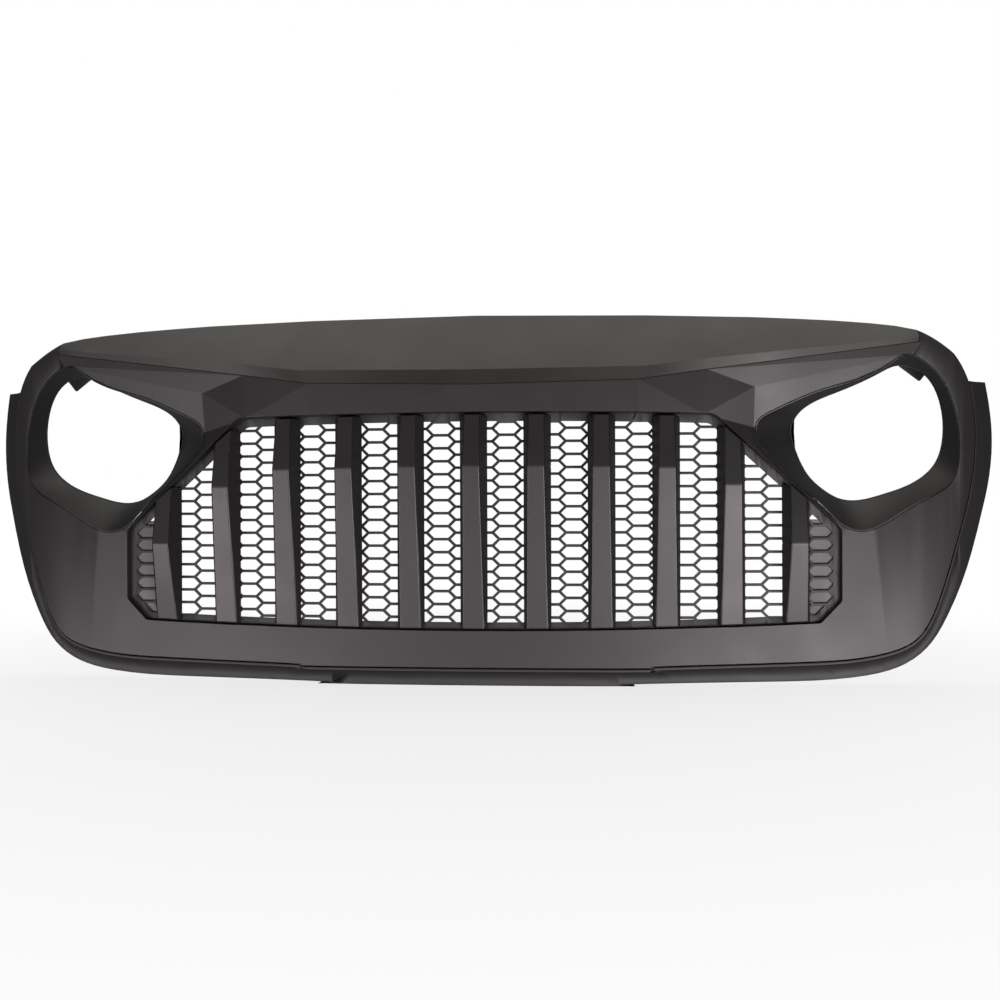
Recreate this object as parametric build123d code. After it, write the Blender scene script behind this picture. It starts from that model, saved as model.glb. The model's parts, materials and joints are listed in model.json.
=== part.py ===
from build123d import *
import os
from math import asin, cos, hypot, radians, sin, sqrt

# Off-road style front grille: a moulded face with two headlight bezels, a sloping visor,
# eleven tapered slats over a hexagon mesh, and a surround with side ears.
# Working frame: X to the right, Y to the rear with 0 near the chin, Z up with 0 at mid height.
# At the end every piece is moved so that the origin is the middle of the top bolt line.
# Outlines and corners are given for the right half; the left half is their mirror image.

# Face curvature
chin_depth = 3.0          # depth of the chin skin on the centre line
face_radius = 5000.0      # sideways curvature of the whole face
wing_start = 590.0        # where the face turns back towards the wings
wing_radius = 240.0
reach = 745.0             # half width of the working slabs
tall = 330.0              # half height of the working slabs
far_back = 260.0

# Walls and gaps
wall = 3.2
rib_wall = 2.6
gap = 0.3                 # between separate mouldings that lie on each other
mesh_setback = 10.0       # mesh front behind the face skin
mesh_thick = 3.0
ledge_setback = 8.0       # surround ledge behind the face skin
ledge_thick = 4.0

# Opening for slats and mesh
opening_top = 120.0
opening_bottom = -180.0
opening_top_corner = (328.0, 115.0)
opening_side_high = (501.0, -41.0)
opening_side_low = (501.0, -139.0)
opening_bottom_corner = (472.0, -169.0)
top_corner_radius = 26.0
side_corner_radius = 16.0
foot_corner_radius = 8.0

# Brow and eyelid corners: across, depth, height
band_depth = -22.0
band_top = (0.0, band_depth, 157.0)
band_low = (0.0, band_depth, 95.0)
band_kink = (226.0, band_depth, 161.0)
band_foot = (226.0, band_depth, 95.0)
lid_inner = (317.0, -12.0, 174.0)
brow_corner = (313.0, -17.0, 113.0)
lid_ridge = (382.0, 4.0, 151.0)
lid_foot = (382.0, 17.0, 97.0)
lid_outer = (600.0, 39.0, 196.0)
visor_tail = (612.0, 40.5, 214.0)
strut_foot = (499.0, 27.0, -40.0)

# Visor stations: across, lip depth, lip height, crest depth, crest height
visor_stations = [
    (0.0, -38.0, 175.0, 46.0, 260.0),
    (236.0, -32.0, 177.5, 50.0, 257.0),
    (308.0, -20.0, 187.0, 53.0, 255.0),
    (385.0, -3.5, 195.5, 57.0, 253.0),
    (442.0, 8.0, 202.0, 61.0, 250.5),
    (495.0, 18.0, 207.5, 64.0, 247.5),
    (547.0, 27.5, 213.0, 65.0, 243.0),
    (580.0, 33.5, 216.8, 60.0, 238.0),
    (606.0, 39.0, 219.8, 52.0, 231.0),
]
visor_wall = 2.5
visor_return = 0.45       # height of the wall under the crest, as a share of the visor's local height
visor_shelf = 20.0        # shelf that rests on the face moulding
flange_top = 243.0        # bolting flange behind the crest
flange_thick = 3.5
flange_rear = 98.0
flange_bolt_inset = 15.0

# Sides and foot of the face moulding and of the surround, from the ear to the centre line
face_side = [
    (680, 162), (690, 95), (685, 30), (657, -70), (632, -143), (603, -190), (549, -212), (450, -221),
    (244, -227.5), (0, -230),
]
shoulder = [(630, 221), (656, 200)]
shoulder_end = (640.0, 60.0, 214.0)   # lower end of the bevel that carries on from the visor
rim_side = [
    (711, 162), (723, 95), (718, 30), (702, -28), (679, -97), (648, -163), (622, -201), (584, -228),
    (521, -243.5), (394, -249.5), (200, -254), (0, -256),
]
bead_offset = 2.6
bead_width = 4.0
bead_height = 4.0
rim_return = 26.0
ledge_width = 22.0
lug_half_width = 18.0
lug_thick = 4.0
lug_rise = 34.0
seal_width = 12.0
seal_thick = 4.0

# Slats
slat_count = 11
slat_pitch = 88.0
slat_base_width = 38.0
slat_foot = (30.6, 1.5)       # face width, depth behind the skin at that end
slat_bend = (23.6, -28.0)
slat_head = (20.0, -12.0)
slat_bend_drop = 74.0         # bend below the opening edge above it
slat_end_gap = 2.5
slat_wall = 2.5
slat_post_radius = 4.5
slat_post_inset = 30.0        # posts from the slat's ends

# Hexagon mesh
hex_column_pitch = 30.6
hex_row_pitch = 18.0
hex_flat = 21.4
hex_bar = 3.8
mesh_border = 11.0
mesh_overlap = 15.0
baffle_start = 432.0
baffle_top = -28.0
baffle_thick = 2.0

# Headlight bezels
lip_outline = [
    (600, 195), (639, 164), (661, 117), (666, 72), (657, 27), (615, -2), (570, -27), (528, -45), (498, -36),
    (479, -16), (451, 10), (422, 36), (392, 66), (381, 86), (385, 102), (411, 122), (476, 149), (563, 182),
]
hole_outline = [
    (600, 187), (634, 168), (651, 128), (653, 84), (643, 50), (610, 21), (570, 6), (535, -2), (510, 1),
    (492, 11), (470, 31), (455, 58), (447, 82), (445, 96), (448, 110), (461, 127), (506, 150), (568, 178),
]
bezel_front = -14.0
bezel_rear = 100.0
bezel_edge = 2.0              # wall at the front lip
bezel_wall = 3.0              # wall at the rear
bezel_fit = 0.4               # clearance in the face moulding
bezel_flange_width = 16.0
bezel_flange_thick = 3.0
collar_width = 11.0
collar_thick = 2.5
lamp_bolt_spacing = 224.0
lamp_bolt_centre = (550.0, 92.0)
lamp_bolt_radius = 2.5
bracket_corner = (640.0, 171.0)   # lowest corner of the bracket's tab
bracket_turn = 38.0               # slope of the bracket, which follows the hole's upper outer edge
bracket_depth = 68.0
bracket_tab = (38.0, 26.5)        # length along the slope, height across it
bracket_width = 26.0
bracket_foot = 3.0                # how far the base reaches below the tab's corner
bracket_sheet = 2.5

# Fasteners
screw_radius = 1.8
screw_head_radius = 4.2
screw_head_thick = 2.4
screw_clearance = 0.4
screw_bite = 5.0
boss_radius = 5.0
bolt_radius = 3.5
top_bolt_inner = 360.0
top_bolt_outer = 860.0
lower_bolt_spacing = 760.0
lower_bolt_height = -232.0

datum = Vector(0, flange_rear - flange_bolt_inset, flange_top)


# ---- Shared geometry ----

def face_depth(across):
    """Depth of the plain face skin at a place across the grille."""
    side = abs(across)
    if side <= wing_start:
        return chin_depth + face_radius - sqrt(face_radius ** 2 - side ** 2)
    turn = asin(min(wing_start / face_radius + (side - wing_start) / wing_radius, 0.99))
    return face_depth(wing_start) + wing_radius * (cos(asin(wing_start / face_radius)) - cos(turn))


def face_line(setback):
    """The face skin in plan, moved to the rear."""
    def at(across):
        return (across, face_depth(across) + setback)
    middle = (wing_start + reach) / 2
    left = ThreePointArc(at(-reach), at(-middle), at(-wing_start))
    centre = ThreePointArc(at(-wing_start), at(0), at(wing_start))
    right = ThreePointArc(at(wing_start), at(middle), at(reach))
    return [left, centre, right]


def slab(near, far):
    """Full-height slab that follows the face between two setbacks."""
    front = face_line(near)
    back = face_line(far)
    ends = [Line(front[0] @ 0, back[0] @ 0), Line(front[2] @ 1, back[2] @ 1)]
    plan = make_face(Curve() + [*front, *back, *ends])
    return extrude(Plane.XY.offset(-tall) * plan, 2 * tall)


def column(outline):
    """Front-view outline run right through the grille."""
    return extrude(Plane.XZ * outline, far_back, both=True)


def pin(x, z, radius, start, end):
    """Round bar along Y between two depths."""
    return extrude(Plane.XZ.offset(-start) * (Pos(x, z) * Circle(radius)), start - end)


def both_sides(half):
    """A front-view outline from its right half, which starts and ends on the centre line."""
    return make_face(Curve() + [half, mirror(half, Plane.YZ)])


def moved_out(points, amount, closed=False):
    """Points of a clockwise outline, moved outwards."""
    last = len(points) - 1
    result = []
    for i, (x, z) in enumerate(points):
        before = points[i - 1] if i > 0 or closed else points[0]
        after = points[(i + 1) % len(points)] if i < last or closed else points[last]
        dx, dz = after[0] - before[0], after[1] - before[1]
        length = hypot(dx, dz)
        result.append((x - dz / length * amount, z + dx / length * amount))
    return result


def side_spline(points, inset):
    """Spline down the side and along the foot, which ends level on the centre line."""
    inner = moved_out(points, -inset)
    inner[0] = (inner[0][0], points[0][1])
    inner[-1] = (0, points[-1][1] + inset)
    return Spline(*inner, tangents=[(0.25, -1), (-1, 0)])


def brow_at(across):
    """Depth and height of the line where the visor meets the face moulding."""
    knots = [band_top, band_kink, lid_inner, visor_tail]
    for a, b in zip(knots, knots[1:]):
        if across <= b[0]:
            share = (across - a[0]) / (b[0] - a[0])
            return a[1] + share * (b[1] - a[1]), a[2] + share * (b[2] - a[2])
    return visor_tail[1], visor_tail[2]


def face_outline(inset=0):
    """Edge of the face moulding: brow line, shoulder, side and foot."""
    tail = visor_stations[-1]
    tail_x = tail[0] + gap
    brow = Polyline(
        (0, band_top[2] - inset), (band_kink[0], band_kink[2] - inset), (lid_inner[0], lid_inner[2] - inset),
        (tail_x + inset, brow_at(tail_x + inset)[1] - inset), (tail_x + inset, tail[4] - inset),
    )
    side = side_spline(face_side, inset)
    top = Spline(brow @ 1, *moved_out(shoulder, -inset), side @ 0)
    return both_sides(Curve() + [brow, top, side])


def rim_outline(inset=0):
    """Outer edge of the surround, closed straight across at ear height."""
    side = side_spline(rim_side, inset)
    return both_sides(Curve() + [Line((0, rim_side[0][1]), side @ 0), side])


def groove_outline(inset):
    """Side and foot of the face moulding, closed straight across at ear height."""
    side = side_spline(face_side, inset)
    return both_sides(Curve() + [Line((0, face_side[0][1]), side @ 0), side])


def opening_outline():
    x, z = opening_bottom_corner
    foot = ThreePointArc((-x, z), (0, opening_bottom), (x, z))
    side = Polyline(opening_bottom_corner, opening_side_low, opening_side_high, opening_top_corner)
    top_x, top_z = opening_top_corner
    top = ThreePointArc((-top_x, top_z), (0, opening_top), (top_x, top_z))
    face = Sketch() + make_face(Curve() + [foot, side, mirror(side, Plane.YZ), top])
    for corner, radius in (
        (opening_top_corner, top_corner_radius), (opening_side_high, side_corner_radius),
        (opening_side_low, foot_corner_radius), (opening_bottom_corner, foot_corner_radius),
    ):
        picked = [v for v in face.vertices() if hypot(abs(v.X) - corner[0], v.Y - corner[1]) < 1]
        face = fillet(picked, radius)
    return face


def opening_edge(across):
    """Height of the opening's upper edge at a place across the grille."""
    side = abs(across)
    top_x, top_z = opening_top_corner
    if side <= top_x:
        return opening_top + (top_z - opening_top) * (side / top_x) ** 2
    low_x, low_z = opening_side_high
    return top_z + (low_z - top_z) * (side - top_x) / (low_x - top_x)


def opening_foot(across):
    """Height of the opening's lower edge at a place across the grille."""
    x, z = opening_bottom_corner
    return opening_bottom + (z - opening_bottom) * (across / x) ** 2


facets = [
    (band_top, band_kink, band_foot), (band_top, band_foot, band_low),
    (band_kink, lid_inner, brow_corner), (band_kink, brow_corner, band_foot),
    (lid_inner, lid_ridge, brow_corner), (lid_ridge, lid_foot, brow_corner),
    (brow_corner, lid_foot, strut_foot), (lid_ridge, lid_foot, lid_outer),
    (lid_inner, lid_ridge, lid_outer), (lid_inner, lid_outer, visor_tail),
]


def skin_depth(across, height):
    """Depth of the front skin, facets included."""
    depth = face_depth(across)
    for a, b, c in facets:
        ux, uz, vx, vz = b[0] - a[0], b[2] - a[2], c[0] - a[0], c[2] - a[2]
        px, pz = abs(across) - a[0], height - a[2]
        area = ux * vz - uz * vx
        s = (px * vz - pz * vx) / area
        t = (ux * pz - uz * px) / area
        if s >= 0 and t >= 0 and s + t <= 1:
            depth = min(depth, a[1] + s * (b[1] - a[1]) + t * (c[1] - a[1]))
    return depth


def bevel_normal():
    """Outward direction of the shoulder bevel."""
    x, lip_y, lip_z, crest_y, crest_z = visor_stations[-1]
    along = Vector(0, crest_y - lip_y, crest_z - lip_z)
    across = Vector(*shoulder_end) - Vector(x, lip_y, lip_z)
    return across.cross(along).normalized()


def front_block():
    """Everything behind the front skin, down to a far plane."""
    prisms = []
    for triangle in facets:
        for side in (1, -1):
            corners = [(side * x, y, z) for x, y, z in triangle]
            face = Face(Wire.make_polygon(corners, close=True))
            prisms.append(extrude(face, far_back, dir=(0, 1, 0)))
    raised = slab(0, far_back).fuse(*prisms)
    x, lip_y, lip_z, crest_y, crest_z = visor_stations[-1]
    bevel = Plane((x, lip_y, lip_z), x_dir=(0, crest_y - lip_y, crest_z - lip_z), z_dir=bevel_normal())
    wedge = extrude(bevel * Rectangle(160, 160), 60)
    wedge &= Pos(x + gap + 80, 0, 0) * Box(160, 2 * far_back, 2 * tall)
    return raised.cut(wedge, mirror(wedge, Plane.YZ))


def closed_spline(points, depth):
    """Closed front-view outline at one depth."""
    return Plane.XZ.offset(-depth) * make_face(Spline(*points, periodic=True))


def funnel(lip_grow, hole_grow):
    """Right-hand headlight funnel that passes through the lip outline on the skin."""
    lips = moved_out(lip_outline, lip_grow, closed=True)
    holes = moved_out(hole_outline, hole_grow, closed=True)
    fronts = []
    for lip, hole, (x, z) in zip(lips, holes, lip_outline):
        stretch = (bezel_rear - bezel_front) / (bezel_rear - skin_depth(x, z))
        fronts.append((hole[0] + (lip[0] - hole[0]) * stretch, hole[1] + (lip[1] - hole[1]) * stretch))
    return loft([closed_spline(fronts, bezel_front), closed_spline(holes, bezel_rear)], ruled=True)


def screw(x, z, head_depth, length):
    """Pan screw along Y whose head bears at head_depth and whose shank points to the front."""
    head = pin(x, z, screw_head_radius, head_depth, head_depth + screw_head_thick)
    shank = pin(x, z, screw_radius, head_depth - length, head_depth)
    return head + shank


def group(solids):
    """Separate solids kept in one node."""
    return Compound(children=list(solids))


block = front_block()
opening = opening_outline()
funnel_right = funnel(bezel_fit, bezel_wall + bezel_fit)
funnel_left = mirror(funnel_right, Plane.YZ)
parts = {}


# ---- Face moulding ----

mesh_screw_places = [(x, opening_foot(x) - 9) for x in (0, 130, 260, 390)]
mesh_screw_places += [(opening_side_low[0] + 9, -60), (opening_side_low[0] + 9, -125)]
mesh_screw_places += [(x, opening_edge(x) + 9) for x in (0, 120, 230)]
collar_screw_places = [moved_out(lip_outline, 6.2, closed=True)[i] for i in (0, 5, 6, 7, 17)]
ledge_screw_places = [moved_out(face_side, -9)[i] for i in (5, 6, 7, 8)] + [(0, face_side[-1][1] + 9)]


def mirrored(places):
    """Places on the right and their mirror images, centre places once."""
    return places + [(-x, z) for x, z in places if x > 0]


def boss(x, z, end_setback):
    """Screw boss from the skin to a setback, with its blind hole."""
    end = face_depth(max(abs(x) - boss_radius, 0)) + end_setback
    post = pin(x, z, boss_radius, skin_depth(x, z) + wall / 2, end)
    return post, pin(x, z, screw_radius + 0.05, end - screw_bite - 1.5, end)


def make_face_moulding():
    outline = column(face_outline())
    skin = (block - Pos(0, wall, 0) * block) & outline
    edge = (outline - column(face_outline(rib_wall))) & block & slab(-80, ledge_setback - gap)
    sleeve = column(offset(opening, rib_wall) - opening) & block & slab(-80, mesh_setback - gap)
    shell = skin + edge + sleeve
    drills = []
    for places, setback in (
        (mesh_screw_places, mesh_setback - gap), (ledge_screw_places, ledge_setback - gap),
    ):
        for x, z in mirrored(places):
            post, drill = boss(x, z, setback)
            shell += post
            drills.append(drill)
    for x, z in mirrored(collar_screw_places):
        skin_y = skin_depth(x, z)
        drills.append(pin(x, z, screw_radius + 0.05, skin_y + wall * 0.3, skin_y + wall + 1))
    shell = shell.cut(column(opening), funnel_right, funnel_left, *drills)
    return shell


parts["fascia_shell"] = make_face_moulding()


# ---- Surround with side ears ----

def make_surround():
    ledge_rear = ledge_setback + ledge_thick
    ledge = column(rim_outline() - groove_outline(ledge_width)) & slab(ledge_setback, ledge_rear)
    bead_ring = column(groove_outline(-bead_offset - bead_width) - groove_outline(-bead_offset))
    bead = bead_ring & slab(ledge_setback - bead_height, ledge_setback + 1)
    skirt = column(rim_outline() - rim_outline(rib_wall)) & slab(ledge_setback, ledge_setback + rim_return)
    frame = ledge + bead + skirt
    for side in (1, -1):
        x = side * lower_bolt_spacing / 2
        start = face_depth(x) + ledge_setback + rim_return - lug_thick
        foot = lower_bolt_height - lug_rise / 2 - 6
        plate = Box(2 * lug_half_width, lug_thick, lug_rise, align=(Align.CENTER, Align.MIN, Align.MIN))
        lug = (Pos(x, start, foot) * plate) & column(rim_outline())
        for edge in (-1, 1):
            web_depth = rim_return - ledge_thick + 1
            web = Box(rib_wall, web_depth, lug_rise, align=(Align.CENTER, Align.MAX, Align.MIN))
            place = Pos(x + edge * (lug_half_width - rib_wall / 2), start + 0.5, foot)
            lug += (place * web) & column(rim_outline()) & slab(ledge_setback + 1, far_back / 2)
        frame += lug - pin(x, lower_bolt_height, bolt_radius, start - 1, start + lug_thick + 1)
    frame -= column(Sketch() + [Pos(x, z) * Circle(screw_radius + screw_clearance)
                                for x, z in mirrored(ledge_screw_places)])
    return frame.cut(funnel_right, funnel_left)


parts["surround_frame"] = make_surround()
for name, side in (("ear_seal_right", 1), ("ear_seal_left", -1)):
    strip = column(rim_outline(rib_wall + 1) - rim_outline(rib_wall + 1 + seal_width))
    strip &= slab(ledge_setback + ledge_thick + gap, ledge_setback + ledge_thick + gap + seal_thick)
    keep = Box(200, 400, 200, align=(Align.CENTER, Align.CENTER, Align.MAX))
    parts[name] = strip & (Pos(side * 700, 60, rim_side[0][1] - 4) * keep)


# ---- Visor ----

def visor_section(station):
    """Closed wall section of the visor at one station."""
    x, lip_y, lip_z, crest_y, crest_z = station
    foot_y, foot_z = brow_at(x)
    foot_z += gap
    w = visor_wall
    run = hypot(crest_y - lip_y, crest_z - lip_z)
    run_y, run_z = (crest_y - lip_y) / run, (crest_z - lip_z) / run
    skin_y, skin_z = lip_y + run_z * w, lip_z - run_y * w
    drop = hypot(foot_y - lip_y, foot_z - lip_z)
    drop_y, drop_z = (foot_y - lip_y) / drop, (foot_z - lip_z) / drop
    strip_y, strip_z = lip_y - drop_z * w, lip_z + drop_y * w
    cross = run_y * drop_z - run_z * drop_y
    along = ((strip_y - skin_y) * drop_z - (strip_z - skin_z) * drop_y) / cross
    corner_y, corner_z = skin_y + run_y * along, skin_z + run_z * along
    shelf_y = strip_y + drop_y * (foot_z + w - strip_z) / drop_z
    top_z = skin_z + run_z * (crest_y - skin_y) / run_y
    back_z = crest_z - visor_return * (crest_z - lip_z)
    return [
        (lip_y, lip_z), (crest_y, crest_z), (crest_y + w, crest_z - 1), (crest_y + w, back_z),
        (crest_y, back_z), (crest_y, top_z), (corner_y, corner_z), (shelf_y, foot_z + w),
        (foot_y + visor_shelf, foot_z + w), (foot_y + visor_shelf, foot_z), (foot_y, foot_z),
    ]


def visor_at(x):
    """Station between the given ones."""
    for a, b in zip(visor_stations, visor_stations[1:]):
        if x <= b[0]:
            share = (x - a[0]) / (b[0] - a[0])
            return tuple(p + share * (q - p) for p, q in zip(a, b))
    return visor_stations[-1]


def make_visor():
    stations = sorted(visor_stations + [visor_at(band_kink[0]), visor_at(lid_inner[0])])
    right = []
    for s in stations:
        right.append(make_face(Polyline(*[(s[0], y, z) for y, z in visor_section(s)], close=True)))
    left = [mirror(face, Plane.YZ) for face in reversed(right[1:])]
    shell = loft(left + right, ruled=True)
    front = [(s[0], s[3] + 1) for s in visor_stations if s[0] <= top_bolt_outer / 2 + 70]
    edge = front[-1][0]
    plan = [(-x, y) for x, y in reversed(front)] + front[1:] + [(edge, flange_rear), (-edge, flange_rear)]
    flange = extrude(Plane.XY.offset(flange_top) * make_face(Polyline(*plan, close=True)), -flange_thick)
    bolts = Sketch() + [Pos(side * spacing / 2, flange_rear - flange_bolt_inset) * Circle(bolt_radius)
                        for spacing in (top_bolt_inner, top_bolt_outer) for side in (1, -1)]
    flange -= extrude(Plane.XY.offset(flange_top + 1) * bolts, -flange_thick - 2)
    visor = shell + flange
    for x in visor_screw_places:
        visor -= visor_screw_bar(x, screw_radius + screw_clearance, 4)
    return visor


visor_screw_places = (-190, -60, 60, 190)


def visor_screw_bar(x, radius, rise):
    """Upright bar through the visor shelf and the moulding's top wall."""
    y, z = brow_at(abs(x))
    low = (Align.CENTER, Align.CENTER, Align.MIN)
    return Pos(x, y + visor_shelf * 0.6, z - 8) * Cylinder(radius, 8 + rise, align=low)


def visor_screw(x):
    """Screw from above, through the visor shelf into the moulding."""
    y, z = brow_at(abs(x))
    top = z + gap + visor_wall + 0.15
    low = (Align.CENTER, Align.CENTER, Align.MIN)
    head = Pos(x, y + visor_shelf * 0.6, top) * Cylinder(screw_head_radius, screw_head_thick, align=low)
    shank = Pos(x, y + visor_shelf * 0.6, z - 8) * Cylinder(screw_radius, top - z + 8, align=low)
    return head + shank


parts["upper_visor"] = make_visor()
for x in visor_screw_places:
    parts["fascia_shell"] -= visor_screw_bar(x, screw_radius + 0.05, 1)
parts["visor_screws"] = group([visor_screw(x) for x in visor_screw_places])


# ---- Slats ----

def slat_body(x, shrink):
    """Tapered trapezoid blade; shrink leaves the wall when the hollow is cut."""
    head = opening_edge(x) + 6
    bend = opening_edge(x) - slat_bend_drop
    foot = opening_foot(x) - 6
    sections = []
    for z, (width, setback) in ((foot, slat_foot), (bend, slat_bend), (head, slat_head)):
        face = width / 2 - shrink
        base = slat_base_width / 2 - shrink
        rear = mesh_setback - gap + (3 if shrink else 0)
        points = [
            (x - base, face_depth(x - base) + rear), (x - face, face_depth(x - face) + setback + shrink),
            (x + face, face_depth(x + face) + setback + shrink), (x + base, face_depth(x + base) + rear),
        ]
        sections.append(make_face(Polyline(*[(px, py, z) for px, py in points], close=True)))
    return loft(sections, ruled=True)


def slat_posts(x):
    return [(x, opening_foot(x) + slat_post_inset), (x, opening_edge(x) - slat_post_inset)]


def make_slat(x):
    outer = slat_body(x, 0)
    hollow = slat_body(x, slat_wall) & column(offset(opening, -slat_end_gap - slat_wall))
    posts = []
    drills = []
    for px, pz in slat_posts(x):
        end = face_depth(px) + mesh_setback - gap
        posts.append(pin(px, pz, slat_post_radius, end - 60, end))
        drills.append(pin(px, pz, screw_radius + 0.05, end - screw_bite - 1.5, end + 1))
    slat = (outer - hollow) + ((posts[0] + posts[1]) & outer)
    return (slat & column(offset(opening, -slat_end_gap))).cut(*drills)


slat_places = [slat_pitch * (i - (slat_count - 1) / 2) for i in range(slat_count)]
for i, x in enumerate(slat_places):
    parts[f"slat_{i + 1:02d}"] = make_slat(x)


# ---- Mesh and baffles ----

def hex_cell():
    """Corner places of one mesh hole about its centre."""
    rise, run = hex_row_pitch / 2, hex_column_pitch - hex_flat
    slant = hypot(rise, run)
    reach_out = (rise * hex_flat / 2 + run * rise) / slant - hex_bar / 2
    high = rise - hex_bar / 2
    tip = reach_out * slant / rise
    top = (reach_out * slant - run * high) / rise
    return [(top, high), (tip, 0), (top, -high), (-top, -high), (-tip, 0), (-top, high)]


def mesh_holes():
    """All mesh holes, mirrored about the centre line and clipped by the border and the screw pads."""
    cell = hex_cell()
    pad = Rectangle(2 * screw_head_radius + 2, hex_row_pitch + 4)
    pads = [Pos(px, pz) * pad for x in slat_places for px, pz in slat_posts(x)]
    region = offset(opening, -mesh_border) - pads
    columns = int(opening_side_low[0] / hex_column_pitch) + 1
    rows = int((opening_top - opening_bottom) / hex_row_pitch) + 2
    faces = []
    for side in (1, -1):
        half = region & (Pos(side * (reach + hex_bar) / 2, 0) * Rectangle(reach - hex_bar, 2 * tall))
        cells = []
        for c in range(columns):
            for r in range(rows):
                x = side * (c + 0.5) * hex_column_pitch
                z = opening_bottom + (r + 0.5 * (c % 2)) * hex_row_pitch
                cells.append(make_face(Polyline(*[(x + px, z + pz) for px, pz in cell], close=True)))
        clipped = half & Sketch(children=cells)
        faces.extend(f for f in clipped.faces() if f.area > 6)
    return faces


def make_mesh():
    outline = offset(opening, mesh_overlap)
    plate = slab(mesh_setback, mesh_setback + mesh_thick) & column(outline)
    drills = [(x, z) for x, z in mirrored(mesh_screw_places)]
    drills += [place for x in slat_places for place in slat_posts(x)]
    plate = plate.cut(funnel(3, 4), mirror(funnel(3, 4), Plane.YZ))
    plate -= column(Sketch() + [Pos(x, z) * Circle(screw_radius + screw_clearance) for x, z in drills])
    return plate.cut(*[column(hole) for hole in mesh_holes()])


mesh_rear = mesh_setback + mesh_thick
baffle_rear = mesh_rear + gap + baffle_thick
parts["mesh_insert"] = make_mesh()
for name, side in (("side_baffle_right", 1), ("side_baffle_left", -1)):
    width = opening_side_low[0] + mesh_overlap - baffle_start
    height = baffle_top - opening_bottom
    area = offset(opening, mesh_overlap - 1) & (
        Pos(side * (baffle_start + width / 2), opening_bottom + height / 2) * Rectangle(width, height)
    )
    near = mesh_rear + gap
    sheet = column(area) & slab(near, near + baffle_thick)
    sheet = sheet.cut(funnel(3, 4), mirror(funnel(3, 4), Plane.YZ))
    drills = [Pos(side * px, pz) * Circle(screw_radius + screw_clearance)
              for px, pz in mesh_screw_places + slat_posts(slat_places[-1])]
    parts[name] = sheet - column(Sketch() + drills)


# ---- Headlight bezels ----

def make_bezel():
    outer = funnel(0, bezel_wall)
    body = (outer - funnel(-bezel_edge, 0)) & block
    rear_face = closed_spline(moved_out(hole_outline, bezel_flange_width, closed=True), bezel_rear)
    flange = extrude(rear_face, bezel_flange_thick)
    flange -= extrude(closed_spline(hole_outline, bezel_rear), 20, both=True)
    rim = closed_spline(moved_out(lip_outline, collar_width, closed=True), 0)
    collar = (extrude(rim, far_back, dir=(0, 1, 0)) & slab(wall + gap, wall + gap + collar_thick)) - outer
    keep_clear = column(offset(opening, mesh_overlap + 1.5)) & slab(-80, baffle_rear + 1)
    bezel = body + flange + (collar - keep_clear)
    x, z = lamp_bolt_centre
    for side in (1, -1):
        bezel -= pin(x + side * lamp_bolt_spacing / 2, z, lamp_bolt_radius, bezel_rear - 6, bezel_rear + 1)
    bx, bz = bracket_screw_place
    bezel -= pin(bx, bz, screw_radius + 0.05, bezel_rear - 6, bezel_rear + 1)
    for x, z in collar_screw_places:
        bezel -= pin(x, z, screw_radius + screw_clearance, -40, 70)
    return bezel


def make_lamp_bracket():
    """Sheet bracket on the bezel's rear flange, with an arm to the rear and a turned tab."""
    start = bezel_rear + gap
    length, height = bracket_tab
    middle = -bracket_inset - bracket_width / 2
    low = (Align.CENTER, Align.MIN, Align.MIN)
    base = Box(bracket_width, bracket_sheet, height + bracket_foot, align=low)
    arm = Box(bracket_width, bracket_depth, bracket_sheet, align=low)
    tab = Box(length, bracket_sheet, height, align=(Align.MAX, Align.MIN, Align.MIN))
    tab = fillet(tab.edges().filter_by(Axis.Y).group_by(Axis.X)[-1], bracket_sheet)
    bracket = Pos(middle, start, -bracket_foot) * base
    bracket += Pos(middle, start, height - bracket_sheet) * arm
    bracket += Pos(0, start + bracket_depth - bracket_sheet, 0) * tab
    bracket = Pos(bracket_corner[0], 0, bracket_corner[1]) * Rot(0, bracket_turn, 0) * bracket
    bx, bz = bracket_screw_place
    return bracket - pin(bx, bz, screw_radius + screw_clearance, start - 1, start + bracket_sheet + 1)


bracket_inset = 4.0
slope = radians(bracket_turn)
along, above = -bracket_inset - bracket_width / 2, bracket_foot
bracket_screw_place = (
    bracket_corner[0] + along * cos(slope) + above * sin(slope),
    bracket_corner[1] - along * sin(slope) + above * cos(slope),
)
bezel = make_bezel()
bracket = make_lamp_bracket()
parts["headlight_bezel_right"] = bezel
parts["headlight_bezel_left"] = mirror(bezel, Plane.YZ)
parts["lamp_bracket_right"] = bracket
parts["lamp_bracket_left"] = mirror(bracket, Plane.YZ)


# ---- Screws that hold the mouldings together ----

def bearing(x, setback):
    """Depth at which a flat screw head bears on a sheet that follows the face."""
    return face_depth(abs(x) + screw_head_radius) + setback + 0.1


def screws_into_bosses(places, boss_setback, sheet_setback):
    made = []
    for x, z in places:
        head = bearing(x, sheet_setback)
        made.append(screw(x, z, head, head - face_depth(x) - boss_setback + gap + screw_bite))
    return made


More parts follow.
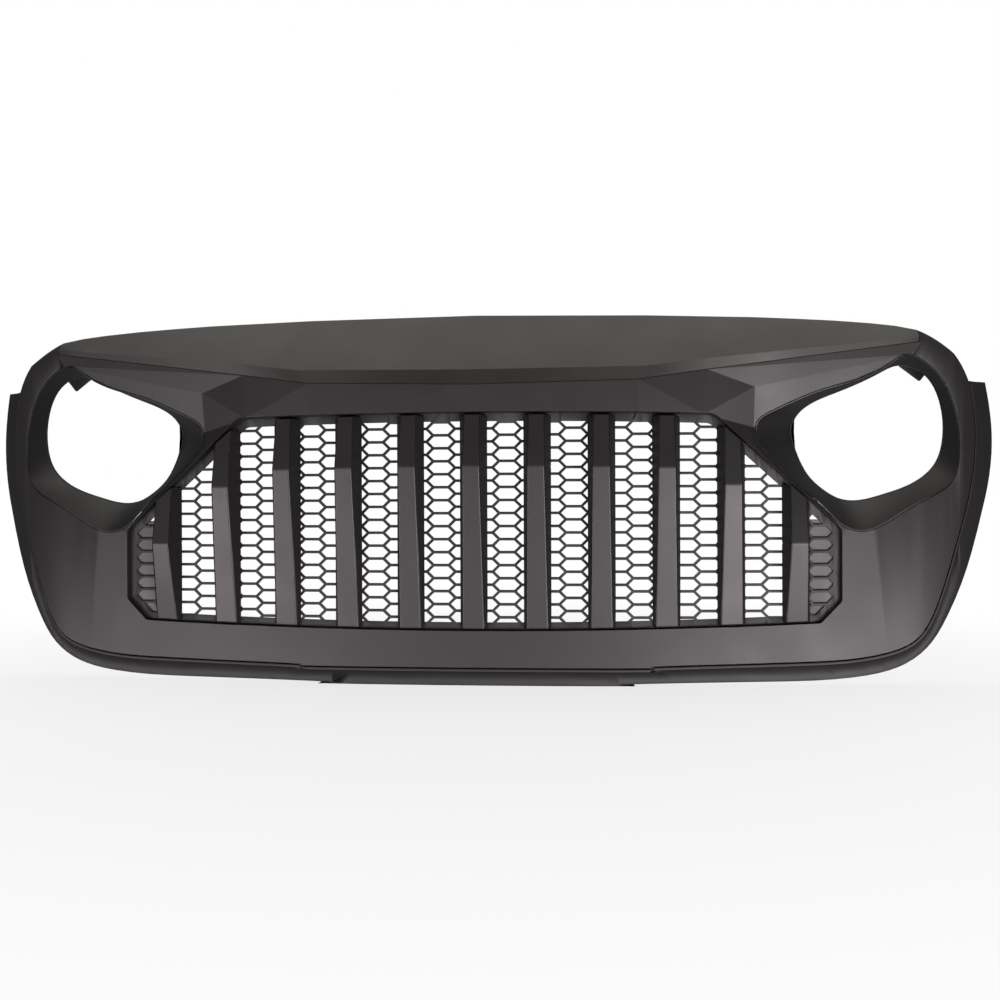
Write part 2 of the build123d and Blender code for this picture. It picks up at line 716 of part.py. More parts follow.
behind_baffle = [(x, z) for x, z in mirrored(mesh_screw_places) if abs(x) > baffle_start]
plain_mesh = [(x, z) for x, z in mirrored(mesh_screw_places) if abs(x) <= baffle_start]
parts["mesh_screws"] = group(
    screws_into_bosses(plain_mesh, mesh_setback, mesh_rear)
    + screws_into_bosses(behind_baffle, mesh_setback, baffle_rear)
)
end_posts = [place for x in (slat_places[0], slat_places[-1]) for place in slat_posts(x)]
behind_baffle = [(x, z) for x, z in end_posts if z < baffle_top]
plain_posts = [place for x in slat_places for place in slat_posts(x) if place not in behind_baffle]
parts["slat_screws"] = group(
    screws_into_bosses(plain_posts, mesh_setback, mesh_rear)
    + screws_into_bosses(behind_baffle, mesh_setback, baffle_rear)
)
ledge_rear = ledge_setback + ledge_thick
parts["surround_screws"] = group(screws_into_bosses(mirrored(ledge_screw_places), ledge_setback, ledge_rear))
collar_screws = []
for x, z in mirrored(collar_screw_places):
    head = bearing(x, wall + gap + collar_thick)
    collar_screws.append(screw(x, z, head, head - skin_depth(x, z) - wall * 0.4))
parts["bezel_screws"] = group(collar_screws)
bracket_head = bezel_rear + gap + bracket_sheet + 0.1
bx, bz = bracket_screw_place
parts["bracket_screws"] = group([screw(side * bx, bz, bracket_head, 4.5) for side in (1, -1)])

os.makedirs("parts", exist_ok=True)
for name, shape in parts.items():
    export_step(shape.moved(Location(-datum)), f"parts/{name}.step")
    print(name, len(shape.solids()), round(shape.volume / 1000, 1), shape.is_valid)
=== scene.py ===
import json
import math

import bmesh
import bpy
import numpy as np
from mathutils import Matrix, Vector


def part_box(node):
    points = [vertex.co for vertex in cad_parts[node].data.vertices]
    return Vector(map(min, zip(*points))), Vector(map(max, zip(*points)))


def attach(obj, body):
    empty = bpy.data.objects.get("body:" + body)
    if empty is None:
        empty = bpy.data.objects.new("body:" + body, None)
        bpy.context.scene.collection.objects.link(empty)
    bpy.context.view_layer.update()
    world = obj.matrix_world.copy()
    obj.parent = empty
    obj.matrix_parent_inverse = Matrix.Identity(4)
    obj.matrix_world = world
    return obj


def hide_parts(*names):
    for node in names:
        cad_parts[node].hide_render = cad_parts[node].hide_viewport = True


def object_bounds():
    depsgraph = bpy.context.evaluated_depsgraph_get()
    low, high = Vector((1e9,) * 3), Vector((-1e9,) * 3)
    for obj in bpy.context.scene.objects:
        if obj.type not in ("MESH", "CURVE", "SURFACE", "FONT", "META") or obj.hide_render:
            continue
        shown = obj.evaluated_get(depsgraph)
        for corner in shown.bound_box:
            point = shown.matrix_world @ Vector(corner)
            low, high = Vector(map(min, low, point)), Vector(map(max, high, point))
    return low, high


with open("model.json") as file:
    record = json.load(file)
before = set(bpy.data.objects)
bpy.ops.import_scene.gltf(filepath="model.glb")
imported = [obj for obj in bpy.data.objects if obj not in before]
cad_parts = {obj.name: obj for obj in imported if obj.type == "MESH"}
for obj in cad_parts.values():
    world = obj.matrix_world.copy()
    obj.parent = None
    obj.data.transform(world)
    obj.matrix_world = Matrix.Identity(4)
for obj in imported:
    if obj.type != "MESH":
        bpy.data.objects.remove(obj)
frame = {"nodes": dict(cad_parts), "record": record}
cadLow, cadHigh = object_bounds()
mergeDistance = 2e-5    # corners of neighbouring CAD triangles nearer than this are one
print("frame loaded:", len(frame["nodes"]), "nodes")


# shared helpers for shader trees

def newGroup(name, inputs, outputs):
    tree = bpy.data.node_groups.new(name, "ShaderNodeTree")
    for label, value in inputs:
        socket = tree.interface.new_socket(label, in_out="INPUT", socket_type="NodeSocketFloat")
        socket.default_value = value
    for label, kind in outputs:
        tree.interface.new_socket(label, in_out="OUTPUT", socket_type=kind)
    return tree, tree.nodes.new("NodeGroupInput"), tree.nodes.new("NodeGroupOutput")


def math2(tree, operation, a, b, clamp=False):
    node = tree.nodes.new("ShaderNodeMath")
    node.operation = operation
    node.use_clamp = clamp
    for socket, value in zip(node.inputs, (a, b)):
        if isinstance(value, (int, float)):
            socket.default_value = value
        else:
            tree.links.new(value, socket)
    return node.outputs[0]


def noiseAt(tree, scale, detail, coords=None):
    node = tree.nodes.new("ShaderNodeTexNoise")
    node.inputs["Detail"].default_value = detail
    if isinstance(scale, (int, float)):
        node.inputs["Scale"].default_value = scale
    else:
        tree.links.new(scale, node.inputs["Scale"])
    if coords is None:
        coords = tree.nodes.new("ShaderNodeTexCoord").outputs["Object"]
    tree.links.new(coords, node.inputs["Vector"])
    return node.outputs["Fac"]


def makeGrainGroup():
    # the fine spark-eroded grain of a moulded part, with slow changes of gloss across it
    tree, given, out = newGroup(
        "mouldedGrain",
        [("Pits per metre", 900.0), ("Patches per metre", 14.0)],
        [("Height", "NodeSocketFloat"), ("Patch", "NodeSocketFloat")],
    )
    cellShare = 0.6
    pits = noiseAt(tree, given.outputs[0], 3.0)
    cells = tree.nodes.new("ShaderNodeTexVoronoi")
    tree.links.new(given.outputs[0], cells.inputs["Scale"])
    tree.links.new(tree.nodes.new("ShaderNodeTexCoord").outputs["Object"], cells.inputs["Vector"])
    rounds = math2(tree, "MULTIPLY", cells.outputs["Distance"], cellShare)
    tree.links.new(math2(tree, "ADD", pits, rounds), out.inputs[0])
    tree.links.new(noiseAt(tree, given.outputs[1], 5.0), out.inputs[1])
    return tree


def makeEdgeWearAndHighlightGroup():
    # a mask along each rounded edge, broken up along its length: partly polish from handling, partly a
    # painted highlight that lightens the edge's colour
    tree, given, out = newGroup(
        "rubbedEdgeAndHighlight",
        [("Amount", 0.6), ("Breaks per metre", 60.0)],
        [("Mask", "NodeSocketFloat")],
    )
    leastWearAndHighlight = 0.35
    edge = tree.nodes.new("ShaderNodeAttribute")
    edge.attribute_name = "edge"
    breaks = math2(tree, "ADD", noiseAt(tree, given.outputs[1], 4.0), leastWearAndHighlight, clamp=True)
    wornAndHighlighted = math2(tree, "MULTIPLY", edge.outputs["Fac"], breaks)
    tree.links.new(math2(tree, "MULTIPLY", wornAndHighlighted, given.outputs[0], clamp=True), out.inputs[0])
    return tree


def makeDustGroup():
    # a thin film of dust on what faces up
    tree, given, out = newGroup(
        "settledDust",
        [("Amount", 0.2), ("Clouds per metre", 25.0)],
        [("Mask", "NodeSocketFloat")],
    )
    leastLean, gain = 0.25, 1.4
    parts = tree.nodes.new("ShaderNodeSeparateXYZ")
    tree.links.new(tree.nodes.new("ShaderNodeNewGeometry").outputs["Normal"], parts.inputs[0])
    facing = math2(tree, "MULTIPLY", math2(tree, "SUBTRACT", parts.outputs["Z"], leastLean), gain, clamp=True)
    cloud = noiseAt(tree, given.outputs[1], 6.0)
    film = math2(tree, "MULTIPLY", facing, cloud)
    tree.links.new(math2(tree, "MULTIPLY", film, given.outputs[0], clamp=True), out.inputs[0])
    return tree


grainGroup = makeGrainGroup()
edgeWearAndHighlightGroup = makeEdgeWearAndHighlightGroup()
dustGroup = makeDustGroup()


def place(tree, group, **values):
    node = tree.nodes.new("ShaderNodeGroup")
    node.node_tree = group
    for label, value in values.items():
        node.inputs[label.replace("_", " ")].default_value = value
    return node


def colourMix(tree, factor, a, b):
    node = tree.nodes.new("ShaderNodeMix")
    node.data_type = "RGBA"
    tree.links.new(factor, node.inputs["Factor"])
    for socket, value in ((node.inputs[6], a), (node.inputs[7], b)):
        if isinstance(value, tuple):
            socket.default_value = (*value, 1.0)
        else:
            tree.links.new(value, socket)
    return node.outputs[2]


def mouldedFinish(name, look):
    material = bpy.data.materials.new(name)
    material.use_nodes = True
    tree = material.node_tree
    shader = tree.nodes["Principled BSDF"]
    grain = place(tree, grainGroup, Pits_per_metre=look["pits"], Patches_per_metre=look["patches"])
    edge = place(tree, edgeWearAndHighlightGroup, Amount=look["edgeWearAndHighlightAmount"])
    dust = place(tree, dustGroup, Amount=look["dust"])
    toned = colourMix(tree, grain.outputs["Patch"], look["dark"], look["light"])
    # the roundings take the lighter "edge" colour: partly rubbed wear, partly a painted highlight along each
    # edge
    toneWithEdgeHighlight = colourMix(tree, edge.outputs["Mask"], toned, look["edge"])
    dusted = colourMix(tree, dust.outputs["Mask"], toneWithEdgeHighlight, look["dustColour"])
    tree.links.new(dusted, shader.inputs["Base Color"])
    patchy = math2(tree, "MULTIPLY", grain.outputs["Patch"], look["roughSpread"])
    polished = math2(tree, "MULTIPLY", edge.outputs["Mask"], look["edgePolish"])
    dusty = math2(tree, "MULTIPLY", dust.outputs["Mask"], look["dustRough"])
    rough = math2(tree, "ADD", look["roughness"], patchy)
    rough = math2(tree, "SUBTRACT", rough, polished)
    rough = math2(tree, "ADD", rough, dusty, clamp=True)
    tree.links.new(rough, shader.inputs["Roughness"])
    bump = tree.nodes.new("ShaderNodeBump")
    bump.inputs["Strength"].default_value = look["bumpStrength"]
    bump.inputs["Distance"].default_value = look["bumpDepth"]
    tree.links.new(grain.outputs["Height"], bump.inputs["Height"])
    tree.links.new(bump.outputs["Normal"], shader.inputs["Normal"])
    shader.inputs["Metallic"].default_value = look.get("metal", 0.0)
    shader.inputs["Specular IOR Level"].default_value = look.get("specular", 0.5)
    return material


# each "edge" colour is lighter than its part's tone: a painted highlight along the roundings, partly also
# rubbed wear
plasticLook = {
    "dark": (0.011, 0.010, 0.010), "light": (0.016, 0.0145, 0.0148), "edge": (0.040, 0.037, 0.038),
    "dustColour": (0.16, 0.15, 0.14), "dust": 0.10, "pits": 900.0, "patches": 14.0, "roughness": 0.40,
    "roughSpread": 0.14, "dustRough": 0.3, "edgeWearAndHighlightAmount": 0.6, "edgePolish": 0.10,
    "bumpStrength": 0.25, "bumpDepth": 0.0002,
}
finishes = {
    "textured_black": mouldedFinish("texturedBlack", plasticLook),
    "visor_black": mouldedFinish("visorBlack", plasticLook | {
        "dark": (0.011, 0.010, 0.009), "light": (0.016, 0.0145, 0.013), "roughness": 0.44, "dust": 0.14}),
    "slat_black": mouldedFinish("slatBlack", plasticLook | {"roughness": 0.36}),
    "rim_black": mouldedFinish("rimBlack", plasticLook | {
        "dark": (0.008, 0.0075, 0.0075), "light": (0.011, 0.0105, 0.0105), "roughness": 0.50,
        "edgeWearAndHighlightAmount": 0.4}),
    "bezel_black": mouldedFinish("bezelBlack", plasticLook | {
        "dark": (0.009, 0.0085, 0.0085), "light": (0.013, 0.0125, 0.0125), "roughness": 0.44}),
    "mesh_black": mouldedFinish("meshBlack", plasticLook | {
        "dark": (0.006, 0.006, 0.006), "light": (0.009, 0.009, 0.009), "roughness": 0.48, "pits": 1500.0}),
    "baffle_grey": mouldedFinish("baffleGrey", plasticLook | {
        "dark": (0.10, 0.10, 0.10), "light": (0.13, 0.13, 0.13), "edge": (0.2, 0.2, 0.2), "roughness": 0.55}),
    "seal_foam": mouldedFinish("sealFoam", plasticLook | {
        "dark": (0.012, 0.012, 0.012), "light": (0.026, 0.026, 0.026), "roughness": 0.85, "roughSpread": 0.1,
        "pits": 700.0, "bumpStrength": 0.9, "bumpDepth": 0.0006, "edgeWearAndHighlightAmount": 0.0, "specular": 0.2}),
    "bracket_steel": mouldedFinish("bracketSteel", plasticLook | {
        "dark": (0.020, 0.020, 0.021), "light": (0.028, 0.028, 0.030), "edge": (0.22, 0.22, 0.22),
        "roughness": 0.38, "edgePolish": 0.05, "pits": 1800.0}),
    "zinc_screw": mouldedFinish("zincScrew", plasticLook | {
        "dark": (0.42, 0.42, 0.40), "light": (0.55, 0.55, 0.52), "edge": (0.7, 0.7, 0.68), "metal": 1.0,
        "roughness": 0.28, "pits": 2200.0, "patches": 90.0, "dust": 0.05}),
}
nodeSlots = {row["node"]: row["material_slot"] for row in frame["record"]["subparts"]}
print("finishes made:", len(finishes))


# moulded pieces: the design's solids with their edges rounded as a mould leaves them

everywhere = 1.0
flatLimit = 0.05        # degrees: triangles that turn less than this are one flat face
sharpLimit = 45.0
# "radius" is for edges seen from the front that turn by more than "limit" degrees and lie above "lowest",
# "small" for any other sharp edge; below the height "smoothBelow" a piece is shaded as its CAD surface
roundings = {
    "fascia_shell": {
        "radius": 0.0008, "steps": 3, "limit": 9.0, "small": 0.0005, "clamped": False, "lowest": -0.418,
        "smoothBelow": -0.285},
    "upper_visor": {"radius": 0.0018, "steps": 3, "limit": 6.0, "small": 0.0005, "smoothBelow": everywhere},
    "surround_frame": {
        "radius": 0.0006, "steps": 2, "limit": 35.0, "small": 0.0, "clamped": False,
        "groove": {"width": 0.0014, "depth": 0.0022, "wallHeight": 0.012, "turn": 60.0}},
    "headlight_bezel": {
        "radius": 0.0009, "steps": 3, "limit": 35.0, "small": 0.0, "clamped": False,
        "smoothBelow": everywhere},
    "slat": {"radius": 0.0020, "steps": 3, "limit": 9.0, "small": 0.0004, "clamped": False},
    "mesh_insert": {"radius": 0.0005, "steps": 2, "limit": 50.0, "small": 0.0, "clamped": False},
    "side_baffle": {"radius": 0.0005, "steps": 1, "limit": 50.0, "small": 0.0},
    "ear_seal": {"radius": 0.0010, "steps": 2, "limit": 50.0, "small": 0.0004},
    "lamp_bracket": {"radius": 0.0005, "steps": 2, "limit": 35.0, "small": 0.0004},
}


def cutGroove(shape, how):
    # narrow groove along both feet of the raised bead: a small fillet whose middle row is pushed back
    feet = []
    for edge in shape.edges:
        if len(edge.link_faces) != 2 or edge.calc_face_angle_signed(0.0) > -math.radians(how["turn"]):
            continue
        ledge, wall = sorted(edge.link_faces, key=lambda face: face.normal.y)
        depths = [vert.co.y for vert in wall.verts]
        if ledge.normal.y < -0.9 and max(depths) - min(depths) < how["wallHeight"]:
            feet.append(edge)
    made = bmesh.ops.bevel(
        shape, geom=feet, offset=how["width"], offset_type="OFFSET", segments=2, profile=0.5,
        affect="EDGES", clamp_overlap=False)
    fillet = set(made["faces"])
    for vert in made["verts"]:
        if all(face in fillet for face in vert.link_faces):
            vert.co.y += how["depth"]
    print("groove cut along", len(feet), "edges")


def cleanCopy(node, how):
    # a CAD node's triangles, merged and joined into flat faces, with the edges seen from the front marked
    mesh = frame["nodes"][node].data.copy()
    mesh.materials.clear()
    shape = bmesh.new()
    shape.from_mesh(mesh)
    bmesh.ops.remove_doubles(shape, verts=shape.verts, dist=mergeDistance)
    bmesh.ops.dissolve_limit(
        shape, angle_limit=math.radians(flatLimit), verts=shape.verts, edges=shape.edges,
        use_dissolve_boundaries=False)
    if "groove" in how:
        cutGroove(shape, how["groove"])
    weight = shape.edges.layers.float.new("bevel_weight_edge")
    lowest = how.get("lowest", cadLow.z - 1)
    for edge in shape.edges:
        height = (edge.verts[0].co.z + edge.verts[1].co.z) / 2
        if len(edge.link_faces) != 2 or height <= lowest:
            continue
        seenFromFront = min(face.normal.y for face in edge.link_faces) < -0.25
        if seenFromFront and edge.calc_face_angle(0.0) > math.radians(how["limit"]):
            edge[weight] = 1.0
    shape.to_mesh(mesh)
    shape.free()
    return mesh


def markEdges(mesh):
    # a value of 1 along the middle of each rounding, for the finish to read
    loops = np.zeros(len(mesh.loops), np.int32)
    mesh.loops.foreach_get("vertex_index", loops)
    sizes = np.zeros(len(mesh.polygons), np.int32)
    mesh.polygons.foreach_get("loop_total", sizes)
    rounded = np.zeros(len(mesh.polygons), np.int32)
    mesh.polygons.foreach_get("material_index", rounded)
    onFlat = np.zeros(len(mesh.vertices), bool)
    onFlat[loops[np.repeat(rounded == 0, sizes)]] = True
    value = mesh.attributes.new("edge", "FLOAT", "POINT")
    value.data.foreach_set("value", (~onFlat).astype(np.float32))
    mesh.polygons.foreach_set("material_index", np.zeros(len(mesh.polygons), np.int32))


def settle(piece):
    # the piece's modifiers become its plain mesh
    graph = bpy.context.evaluated_depsgraph_get()
    mesh = bpy.data.meshes.new_from_object(piece.evaluated_get(graph), depsgraph=graph)
    piece.modifiers.clear()
    piece.data = mesh
    return mesh


def takeNormals(piece, node, below):
    # the flat faces take their shading normals from the CAD surface; the roundings keep their own
    flat = piece.vertex_groups.new(name="flat")
    edge = piece.data.attributes["edge"].data
    points = piece.data.vertices
    chosen = [i for i in range(len(edge)) if edge[i].value == 0.0 and points[i].co.z < below]
    flat.add(chosen, 1.0, "REPLACE")
    transfer = piece.modifiers.new("normals", "DATA_TRANSFER")
    transfer.object = frame["nodes"][node]
    transfer.use_loop_data = True
    transfer.data_types_loops = {"CUSTOM_NORMAL"}
    transfer.loop_mapping = "POLYINTERP_NEAREST"
    transfer.vertex_group = "flat"
    settle(piece)
    piece.vertex_groups.clear()


def declare(piece, node):
    # the piece stands in for its CAD node on the one body
    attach(piece, "root")
    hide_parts(node)


def roundedPiece(node, how):
    piece = bpy.data.objects.new("moulded_" + node, cleanCopy(node, how))
    bpy.context.scene.collection.objects.link(piece)
    piece.data.materials.append(finishes[nodeSlots[node]])
    piece.data.materials.append(finishes[nodeSlots[node]])
    for name, width, steps in (("rounding", how["radius"], how["steps"]), ("smallRounding", how["small"], 1)):
        if width == 0.0:
            continue
        bevel = piece.modifiers.new(name, "BEVEL")
        bevel.width = width
        bevel.segments = steps
        bevel.limit_method = "WEIGHT" if name == "rounding" else "ANGLE"
        bevel.angle_limit = math.radians(sharpLimit)
        bevel.use_clamp_overlap = name != "rounding" or how.get("clamped", True)
        bevel.harden_normals = True
        bevel.material = 1
    mesh = settle(piece)
    mesh.materials.pop()
    markEdges(mesh)
    low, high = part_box(node)
    points = np.zeros(len(mesh.vertices) * 3, np.float32)
    mesh.vertices.foreach_get("co", points)
    points = np.clip(points.reshape(-1, 3), np.array(low, np.float32), np.array(high, np.float32))
    mesh.vertices.foreach_set("co", points.ravel())
    if "smoothBelow" in how:
        takeNormals(piece, node, how["smoothBelow"])
    declare(piece, node)
    return piece


for node in sorted(frame["nodes"]):
    family = next((key for key in roundings if node.startswith(key)), None)
    if family:
        made = roundedPiece(node, roundings[family])
        made.data.calc_loop_triangles()
        print("rounded", node, len(made.data.loop_triangles), "triangles")


# screws: pan heads with a cross recess, repeated by Geometry Nodes

screwLook = {
    "headRadius": 0.0042, "headHeight": 0.0024, "shankRadius": 0.0018,
    "slotWidth": 0.0010, "slotDepth": 0.0012,
}


def islandsOf(mesh):
    # boxes of the separate solids in one node
    shape = bmesh.new()
    shape.from_mesh(mesh)
    bmesh.ops.remove_doubles(shape, verts=shape.verts, dist=mergeDistance)
    boxes = []
    left = set(shape.verts)
    while left:
        todo = [left.pop()]
        seen = []
        while todo:
            vert = todo.pop()
            seen.append(vert.co.copy())
            for edge in vert.link_edges:
                other = edge.other_vert(vert)
                if other in left:
                    left.remove(other)
                    todo.append(other)
        low = Vector(min(p[i] for p in seen) for i in range(3))
        high = Vector(max(p[i] for p in seen) for i in range(3))
        boxes.append((low, high))
    shape.free()
    return sorted(boxes, key=lambda b: tuple(b[0]))


def gnNode(tree, kind, **values):
    node = tree.nodes.new(kind)
    for label, value in values.items():
        socket = node.inputs[label.replace("_", " ")]
        if isinstance(value, bpy.types.NodeSocket):
            tree.links.new(value, socket)
        else:
            socket.default_value = value
    return node


def makeScrewTree():
    tree = bpy.data.node_groups.new("panHeadScrews", "GeometryNodeTree")
    tree.interface.new_socket("Places", in_out="INPUT", socket_type="NodeSocketGeometry")
    sizes = ("Head radius", "Head height", "Shank radius", "Shank length", "Slot width", "Slot depth")
    for label in sizes:
        tree.interface.new_socket(label, in_out="INPUT", socket_type="NodeSocketFloat")
    tree.interface.new_socket("Turn", in_out="INPUT", socket_type="NodeSocketRotation")
    tree.interface.new_socket("Finish", in_out="INPUT", socket_type="NodeSocketMaterial")
    tree.interface.new_socket("Screws", in_out="OUTPUT", socket_type="NodeSocketGeometry")
    given = tree.nodes.new("NodeGroupInput").outputs
    link = tree.links.new

    def combine(x, y, z):
        node = tree.nodes.new("ShaderNodeCombineXYZ")
        for socket, value in zip(node.inputs, (x, y, z)):
            if isinstance(value, (int, float)):
                socket.default_value = value
            else:
                link(value, socket)
        return node.outputs[0]

    # the head grows from a disc in three steps, so that its crown is domed
    disc = gnNode(tree, "GeometryNodeMeshCircle", Vertices=24, Radius=given["Head radius"])
    disc.fill_type = "NGON"
    head = disc.outputs["Mesh"]
    top = None
    for rise, shrink in ((0.55, 1.0), (0.30, 0.90), (0.15, 0.72)):
        grow = gnNode(tree, "GeometryNodeExtrudeMesh", Mesh=head)
        link(math2(tree, "MULTIPLY", given["Head height"], rise), grow.inputs["Offset Scale"])
        if top is not None:
            link(top, grow.inputs["Selection"])
        top = grow.outputs["Top"]
        scaled = gnNode(
            tree, "GeometryNodeScaleElements", Geometry=grow.outputs["Mesh"], Selection=top, Scale=shrink)
        head = scaled.outputs["Geometry"]
    length = math2(tree, "MULTIPLY", given["Head radius"], 1.25)
    recess = tree.nodes.new("GeometryNodeJoinGeometry")
    for x, y in ((length, given["Slot width"]), (given["Slot width"], length)):
        depth = math2(tree, "MULTIPLY", given["Slot depth"], 2.0)
        bar = gnNode(tree, "GeometryNodeMeshCube", Size=combine(x, y, depth))
        moved = gnNode(
            tree, "GeometryNodeTransform", Geometry=bar.outputs["Mesh"],
            Translation=combine(0.0, 0.0, given["Head height"]))
        link(moved.outputs[0], recess.inputs[0])
    cut = tree.nodes.new("GeometryNodeMeshBoolean")
    cut.operation = "DIFFERENCE"
    cut.solver = "EXACT"
    link(head, cut.inputs["Mesh 1"])
    link(recess.outputs[0], cut.inputs["Mesh 2"])
    cut.inputs["Self Intersection"].default_value = True
    shank = gnNode(
        tree, "GeometryNodeMeshCylinder", Vertices=16, Radius=given["Shank radius"],
        Depth=given["Shank length"])
    shankMoved = gnNode(
        tree, "GeometryNodeTransform", Geometry=shank.outputs["Mesh"],
        Translation=combine(0.0, 0.0, math2(tree, "MULTIPLY", given["Shank length"], -0.5)))
    screw = tree.nodes.new("GeometryNodeJoinGeometry")
    link(cut.outputs["Mesh"], screw.inputs[0])
    link(shankMoved.outputs[0], screw.inputs[0])
    spread = gnNode(tree, "GeometryNodeInstanceOnPoints", Points=given["Places"], Instance=screw.outputs[0])
    link(given["Turn"], spread.inputs["Rotation"])
    whole = gnNode(tree, "GeometryNodeRealizeInstances", Geometry=spread.outputs["Instances"])
    coated = gnNode(tree, "GeometryNodeSetMaterial", Geometry=whole.outputs[0])
    link(given["Finish"], coated.inputs["Material"])
    link(coated.outputs[0], tree.nodes.new("NodeGroupOutput").inputs[0])
    return tree


screwTree = makeScrewTree()


def applyTree(piece, tree, values):
    # sets a tree's named inputs, then turns its result into a plain mesh
    modifier = piece.modifiers.new(tree.name, "NODES")
    modifier.node_group = tree
    ids = {s.name: s.identifier for s in tree.interface.items_tree if s.in_out == "INPUT"}
    for label, value in values.items():
        modifier[ids[label]] = value
    piece.update_tag()
    settle(piece)


def screwPiece(node, look):
    # down is the way the shank points
    down = Vector((0, 0, -1)) if node == "visor_screws" else Vector((0, -1, 0))
    axis = 2 if node == "visor_screws" else 1
    boxes = islandsOf(frame["nodes"][node].data)
    places = bpy.data.meshes.new(node + "_places")
    spots = []
    for low, high in boxes:
        spot = (low + high) / 2
        spot[axis] = high[axis] - look["headHeight"]
        spots.append(spot)
    places.from_pydata(spots, [], [])
    piece = bpy.data.objects.new("panhead_" + node, places)
    bpy.context.scene.collection.objects.link(piece)
    length = (boxes[0][1] - boxes[0][0])[axis] - look["headHeight"]
    turn = (-down).to_track_quat("Z", "Y").to_euler()
    applyTree(piece, screwTree, {
        "Head radius": look["headRadius"], "Head height": look["headHeight"],
        "Shank radius": look["shankRadius"], "Shank length": length,
        "Slot width": look["slotWidth"], "Slot depth": look["slotDepth"],
        "Turn": turn, "Finish": finishes[nodeSlots[node]],
    })
    declare(piece, node)
    print("screws", node, len(spots))


for node in sorted(frame["nodes"]):
    if node.endswith("_screws"):
        screwPiece(node, screwLook)


# stage: pale floor, soft lights, camera

stageLook = {
    "floorRadius": 9.0, "floorDrop": 0.0005, "fadeStart": 0.2, "fadeEnd": 1.5, "floorTone": 0.86,
    "glowShare": 0.80, "worldDim": 0.11,
}


def makeFloor(look):
    mesh = bpy.data.meshes.new("floor")
    shape = bmesh.new()
    bmesh.ops.create_circle(shape, cap_ends=True, segments=96, radius=look["floorRadius"])
    shape.to_mesh(mesh)
    shape.free()
    mesh.transform(Matrix.Translation((0, 0, cadLow.z - look["floorDrop"])))
    floor = bpy.data.objects.new("floor", mesh)
    bpy.context.scene.collection.objects.link(floor)
    material = bpy.data.materials.new("paleFloor")
    material.use_nodes = True
    tree = material.node_tree
    shader = tree.nodes["Principled BSDF"]
    shader.inputs["Base Color"].default_value = (look["floorTone"],) * 3 + (1.0,)
    shader.inputs["Roughness"].default_value = 0.9
    shader.inputs["Specular IOR Level"].default_value = 0.0
    glow = tree.nodes.new("ShaderNodeEmission")
    blend = tree.nodes.new("ShaderNodeMixShader")
    away = tree.nodes.new("ShaderNodeVectorMath")
    away.operation = "LENGTH"
    flat = tree.nodes.new("ShaderNodeVectorMath")
    flat.operation = "MULTIPLY"
    flat.inputs[1].default_value = (1.0, 1.0, 0.0)
    tree.links.new(tree.nodes.new("ShaderNodeTexCoord").outputs["Object"], flat.inputs[0])
    tree.links.new(flat.outputs[0], away.inputs[0])
    fade = tree.nodes.new("ShaderNodeMapRange")
    fade.interpolation_type = "SMOOTHSTEP"
    fade.inputs["From Min"].default_value = look["fadeStart"]
    fade.inputs["From Max"].default_value = look["fadeEnd"]
    fade.inputs["To Min"].default_value = look["glowShare"]
    tree.links.new(away.outputs["Value"], fade.inputs["Value"])
    tree.links.new(fade.outputs["Result"], blend.inputs[0])
    tree.links.new(shader.outputs[0], blend.inputs[1])
    tree.links.new(glow.outputs[0], blend.inputs[2])
    tree.links.new(blend.outputs[0], tree.nodes["Material Output"].inputs["Surface"])
    # only the camera sees the floor, so the low lights reach the grille from under it
    floor.visible_diffuse = False
    floor.visible_glossy = False
    floor.visible_shadow = False
    mesh.materials.append(material)


def makeWorld(look):
    world = bpy.data.worlds.new("studio")
    bpy.context.scene.world = world
    world.use_nodes = True
    tree = world.node_tree
    dim = tree.nodes["Background"]
    dim.inputs["Color"].default_value = (1, 1, 1, 1)
    dim.inputs["Strength"].default_value = look["worldDim"]
    bright = tree.nodes.new("ShaderNodeBackground")
    bright.inputs["Color"].default_value = (1, 1, 1, 1)
    mix = tree.nodes.new("ShaderNodeMixShader")
    rays = tree.nodes.new("ShaderNodeLightPath")
    tree.links.new(rays.outputs["Is Camera Ray"], mix.inputs[0])
    tree.links.new(dim.outputs[0], mix.inputs[1])
    tree.links.new(bright.outputs[0], mix.inputs[2])
    tree.links.new(mix.outputs[0], tree.nodes["World Output"].inputs["Surface"])


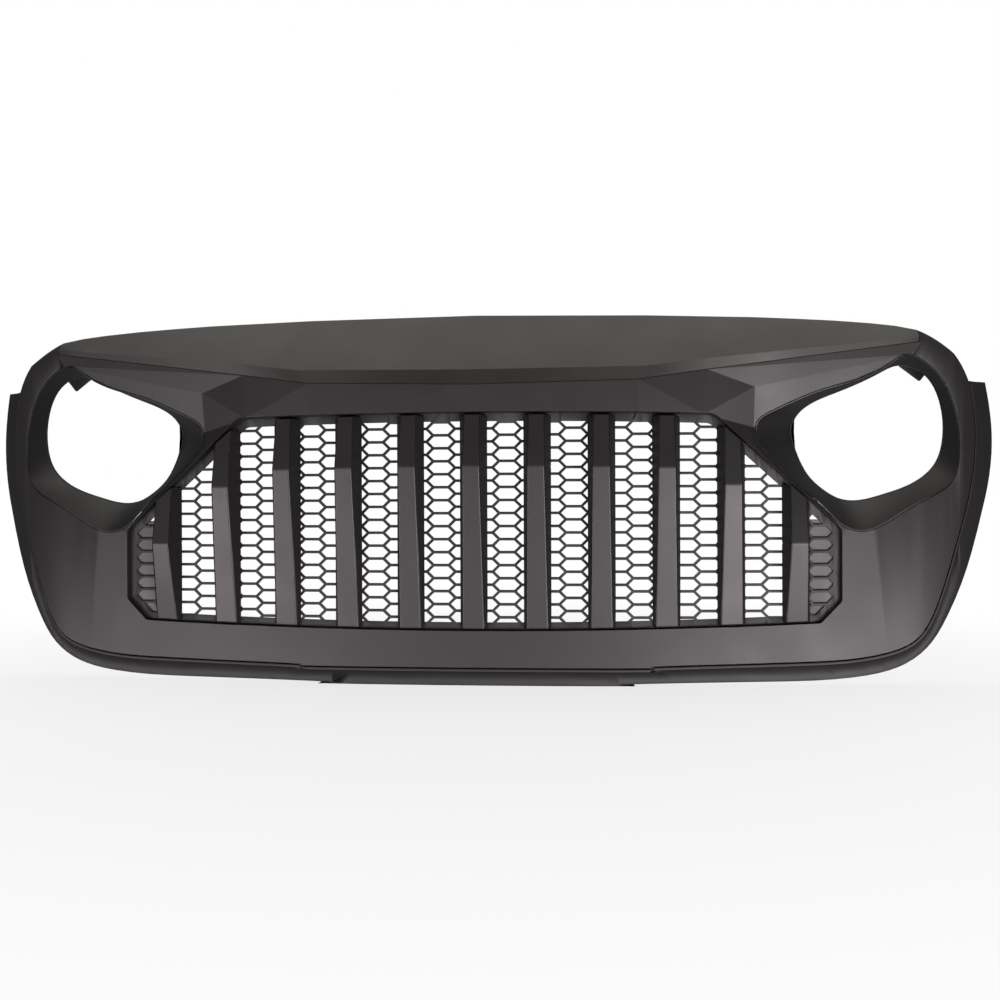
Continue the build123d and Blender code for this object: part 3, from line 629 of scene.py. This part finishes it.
warmTint, pinkTint = (1, 0.955, 0.90), (1, 0.93, 0.94)
lights = {
    "overhead": {
        "at": (0.0, 0.35, 1.25), "aim": (0, 0.05, 0), "size": (2.4, 0.9), "power": 14.5, "tint": warmTint},
    "lowLeft": {
        "at": (-1.4, -1.9, -1.00), "aim": (-0.3, 0, -0.3), "size": (1.2, 0.8), "power": 31.0,
        "tint": pinkTint},
    "lowRight": {
        "at": (1.3, -2.0, -1.00), "aim": (0.35, 0, -0.3), "size": (1.1, 0.8), "power": 54.0,
        "tint": pinkTint},
    "lowFront": {
        "at": (0.1, -2.4, -1.30), "aim": (0, 0, -0.3), "size": (2.0, 0.5), "power": 8.0, "tint": pinkTint},
}


def makeLight(name, look):
    data = bpy.data.lights.new(name, "AREA")
    data.shape = "RECTANGLE"
    data.size, data.size_y = look["size"]
    data.energy = look["power"]
    data.color = look["tint"]
    lamp = bpy.data.objects.new(name, data)
    lamp.location = look["at"]
    lamp.rotation_euler = (Vector(look["aim"]) - Vector(look["at"])).to_track_quat("-Z", "Y").to_euler()
    bpy.context.scene.collection.objects.link(lamp)


cameraLook = {"at": (0.179, -1.683, -0.243), "yaw": 5.05, "roll": -0.22, "lens": 42.28}


def makeCamera(look):
    data = bpy.data.cameras.new("camera")
    data.lens = look["lens"]
    data.sensor_width = 36.0
    data.clip_start, data.clip_end = 0.05, 50.0
    camera = bpy.data.objects.new("camera", data)
    bpy.context.scene.collection.objects.link(camera)
    yaw, roll = math.radians(look["yaw"]), math.radians(look["roll"])
    ahead = Vector((-math.sin(yaw), math.cos(yaw), 0))
    right = Vector((math.cos(yaw), math.sin(yaw), 0))
    up = Vector((0, 0, 1))
    across = right * math.cos(roll) + up * math.sin(roll)
    above = up * math.cos(roll) - right * math.sin(roll)
    facing = Matrix((across, above, -ahead)).transposed().to_4x4()
    camera.matrix_world = Matrix.Translation(look["at"]) @ facing
    bpy.context.scene.camera = camera


makeFloor(stageLook)
makeWorld(stageLook)
for name, look in lights.items():
    makeLight(name, look)
makeCamera(cameraLook)
bpy.context.scene.view_settings.view_transform = "Standard"
print("stage set")
